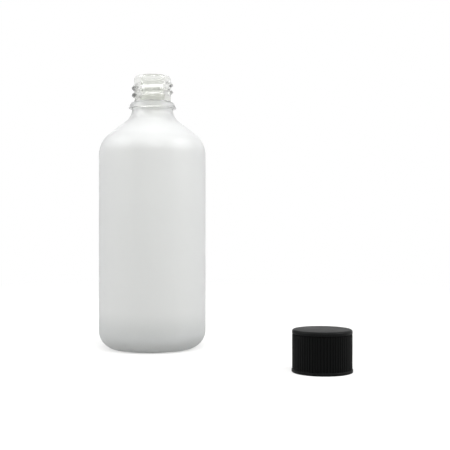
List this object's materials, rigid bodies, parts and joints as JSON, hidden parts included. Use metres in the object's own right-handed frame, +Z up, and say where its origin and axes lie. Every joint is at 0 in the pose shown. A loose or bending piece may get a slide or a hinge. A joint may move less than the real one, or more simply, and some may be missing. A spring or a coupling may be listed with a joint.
{
  "type": "frosted glass screw-cap bottle",
  "caption": "Frosted cylindrical glass bottle with a clear screw-thread neck, its mouth open, and a ribbed black screw cap standing beside it.",
  "frame": {"origin": "centre of the bottle's bearing ring, on the surface that the bottle stands on", "axes": "+Z up along the bottle's axis and out of its mouth; -Y is the front that the picture shows; +X is to its right, where the cap stands"},
  "size_m": [0.0997, 0.0957, 0.1164],
  "materials": {
    "frosted_glass": "satin-etched outside from the bead down, clear and smooth on the screw finish and inside",
    "black_polypropylene": "moulded, fine matt grain",
    "liner_foam": "smooth expanded polyethylene"
  },
  "bodies": {
    "bottle": {"bottle": "frosted_glass"},
    "cap": {"cap": "black_polypropylene", "cap_liner": "liner_foam"}
  },
  "joints": [
    {"name": "cap_lift", "type": "slide", "parent": "bottle", "child": "cap", "axis": [0, 0, 1], "range_m": [0, 0.12]}
  ]
}
